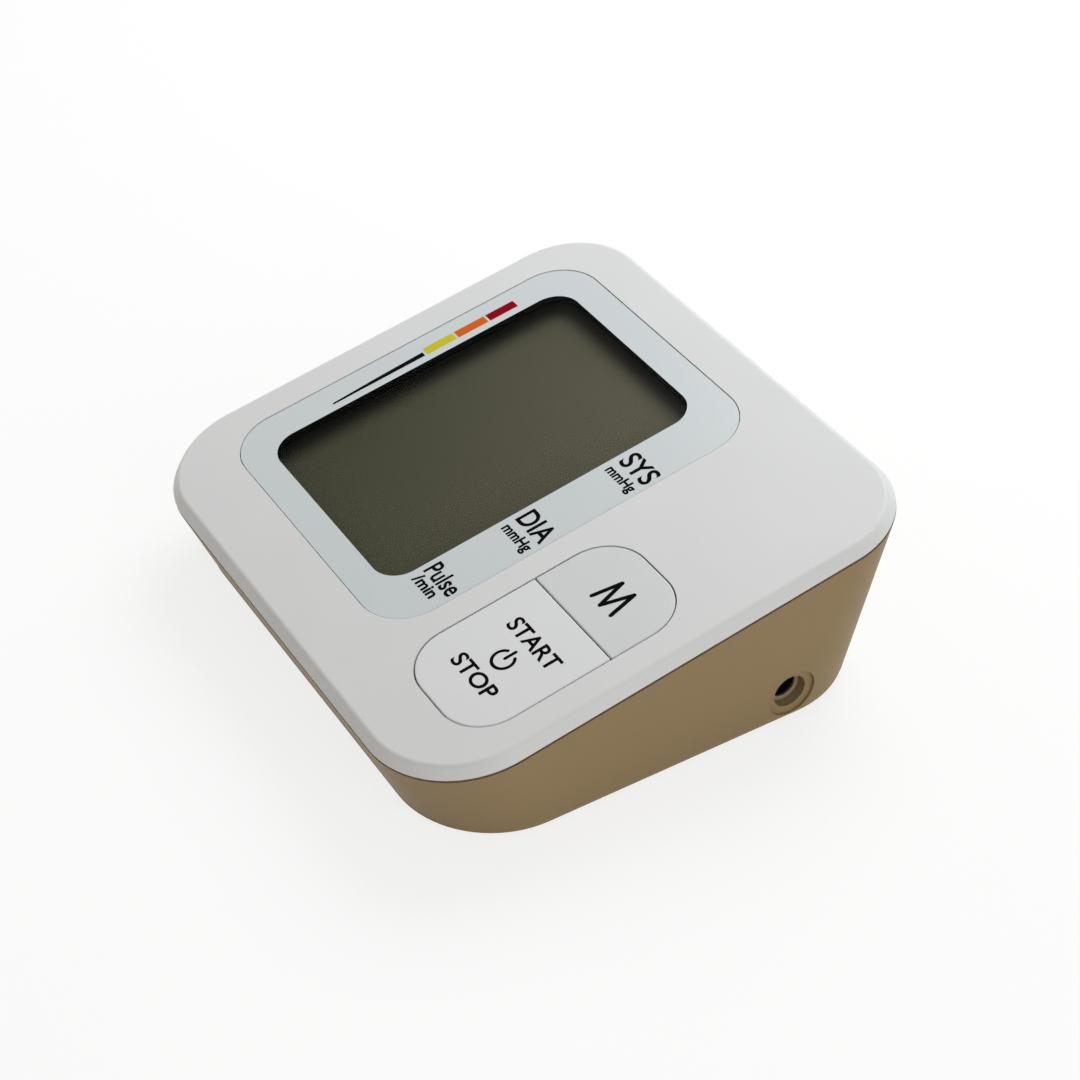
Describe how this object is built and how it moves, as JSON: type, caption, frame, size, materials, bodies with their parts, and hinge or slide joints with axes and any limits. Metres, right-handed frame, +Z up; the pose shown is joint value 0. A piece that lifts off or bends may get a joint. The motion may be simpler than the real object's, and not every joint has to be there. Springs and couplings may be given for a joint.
{
  "type": "blood pressure monitor",
  "caption": "Desktop upper-arm blood pressure monitor: sloping cover with display window, start/stop and memory keys, air socket, power inlet and battery bay.",
  "frame": {"origin": "on the table, under the centre of the unit, at the soles of the rubber feet", "axes": "+Z up; +Y from the low front edge to the high rear edge; +X to the reader's right"},
  "size_m": [0.126, 0.1168, 0.0441],
  "materials": {
    "cover": "fine satin, pale cool grey",
    "case": "fine satin, warm taupe",
    "window": "clear plastic with a grey printed border",
    "lcd": "dark olive liquid-crystal glass",
    "key": "fine satin",
    "black_plastic": "satin black",
    "white_plastic": "satin white",
    "rubber": "matt dark rubber",
    "silicone": "milky silicone",
    "board": "green solder mask",
    "steel": "zinc-plated steel",
    "contact": "nickel-plated spring steel",
    "cell": "plain sleeve with a bare positive end",
    "pin": "bright plated pin",
    "foam": "soft grey foam"
  },
  "bodies": {
    "housing": {"top_cover": "cover", "display_window": "window", "lcd_panel": "lcd", "lcd_frame": "black_plastic", "lcd_contact_strip": "rubber", "start_stop_switch": "black_plastic", "memory_switch": "black_plastic", "main_board": "board", "board_screws": "steel", "case_screws": "steel", "bottom_case": "case", "rubber_feet": "rubber", "battery_cell_1": "cell", "battery_cell_2": "cell", "battery_cell_3": "cell", "battery_cell_4": "cell", "battery_contacts": "contact", "battery_springs": "contact", "power_inlet": "black_plastic", "power_inlet_pin": "pin", "air_socket": "white_plastic", "air_junction": "white_plastic", "socket_tube": "silicone", "pump_tube": "silicone", "valve_tube": "silicone", "sensor_tube": "silicone", "pump_head": "white_plastic", "pump_motor": "steel", "pump_pad": "foam", "release_valve": "black_plastic", "pressure_sensor": "black_plastic"},
    "start_stop_button": {"start_stop_key": "key", "start_stop_plunger": "white_plastic"},
    "memory_button": {"memory_key": "key", "memory_plunger": "white_plastic"},
    "door": {"battery_door": "case"},
    "crank": {"pump_crank": "steel"},
    "core": {"valve_core": "steel"}
  },
  "joints": [
    {"name": "start_stop_press", "type": "slide", "parent": "housing", "child": "start_stop_button", "axis": [0, 0.1908, -0.9816], "range_m": [0, 0.0006], "stiffness_N_per_m": 1500},
    {"name": "memory_press", "type": "slide", "parent": "housing", "child": "memory_button", "axis": [0, 0.1908, -0.9816], "range_m": [0, 0.0006], "stiffness_N_per_m": 1500},
    {"name": "battery_door_hinge", "type": "hinge", "parent": "housing", "child": "door", "pos_m": [0.0125, -0.0182, 0.0008], "axis": [-1, 0, 0], "range_deg": [0, 80]},
    {"name": "crank_turn", "type": "hinge", "parent": "housing", "child": "crank", "pos_m": [-0.031, 0.012, 0.0125], "axis": [0, 1, 0], "continuous": true},
    {"name": "valve_slide", "type": "slide", "parent": "housing", "child": "core", "axis": [0, 1, 0], "range_m": [0, 0.0006], "stiffness_N_per_m": 400}
  ]
}
